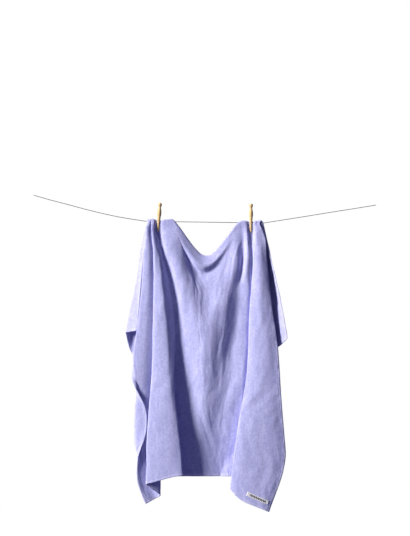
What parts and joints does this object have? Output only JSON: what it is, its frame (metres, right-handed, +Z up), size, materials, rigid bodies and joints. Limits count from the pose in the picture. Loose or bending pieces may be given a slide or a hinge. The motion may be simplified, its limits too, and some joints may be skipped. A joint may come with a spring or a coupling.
{
  "type": "towel",
  "caption": "Lilac velour towel folded over a taut line and held by dolly pegs, with stitched hems and a corner label.",
  "frame": {"origin": "on the axis of the line, midway between the pegs", "axes": "+X to the right along the line, +Z up, -Y out of the towel's front half"},
  "size_m": [1.3203, 0.1194, 1.2179],
  "materials": {
    "towel_cloth": "short cut pile, velour, matt",
    "hem_cloth": "cloth turned over and stitched flat, matt",
    "seam_thread": "matt sewing thread",
    "label_cloth": "smooth woven tape, matt",
    "label_print": "matt print",
    "peg_wood": "bare turned beech, matt",
    "line_cord": "matt coated cord"
  },
  "bodies": {
    "line": {"clothes_line": "line_cord"},
    "towel": {"towel_front_panel": "towel_cloth", "towel_back_panel": "towel_cloth", "front_end_hem": "hem_cloth", "back_end_hem": "hem_cloth", "left_side_hem": "hem_cloth", "right_side_hem": "hem_cloth", "front_end_seam": "seam_thread", "back_end_seam": "seam_thread", "left_side_seam": "seam_thread", "right_side_seam": "seam_thread", "label_patch": "label_cloth", "label_mark": "label_print"},
    "peg_left": {"left_peg": "peg_wood"},
    "peg_right": {"right_peg": "peg_wood"}
  },
  "joints": [
    {"name": "towel_swing", "type": "hinge", "parent": "line", "child": "towel", "pos_m": [0, 0, 0], "axis": [0.9999, 0, -0.0144], "range_deg": [-60, 60]},
    {"name": "left_peg_pull", "type": "slide", "parent": "towel", "child": "peg_left", "axis": [0.0809, 0, 0.9967], "range_m": [0, 0.06]},
    {"name": "right_peg_pull", "type": "slide", "parent": "towel", "child": "peg_right", "axis": [0.0117, 0, 0.9999], "range_m": [0, 0.06]}
  ]
}
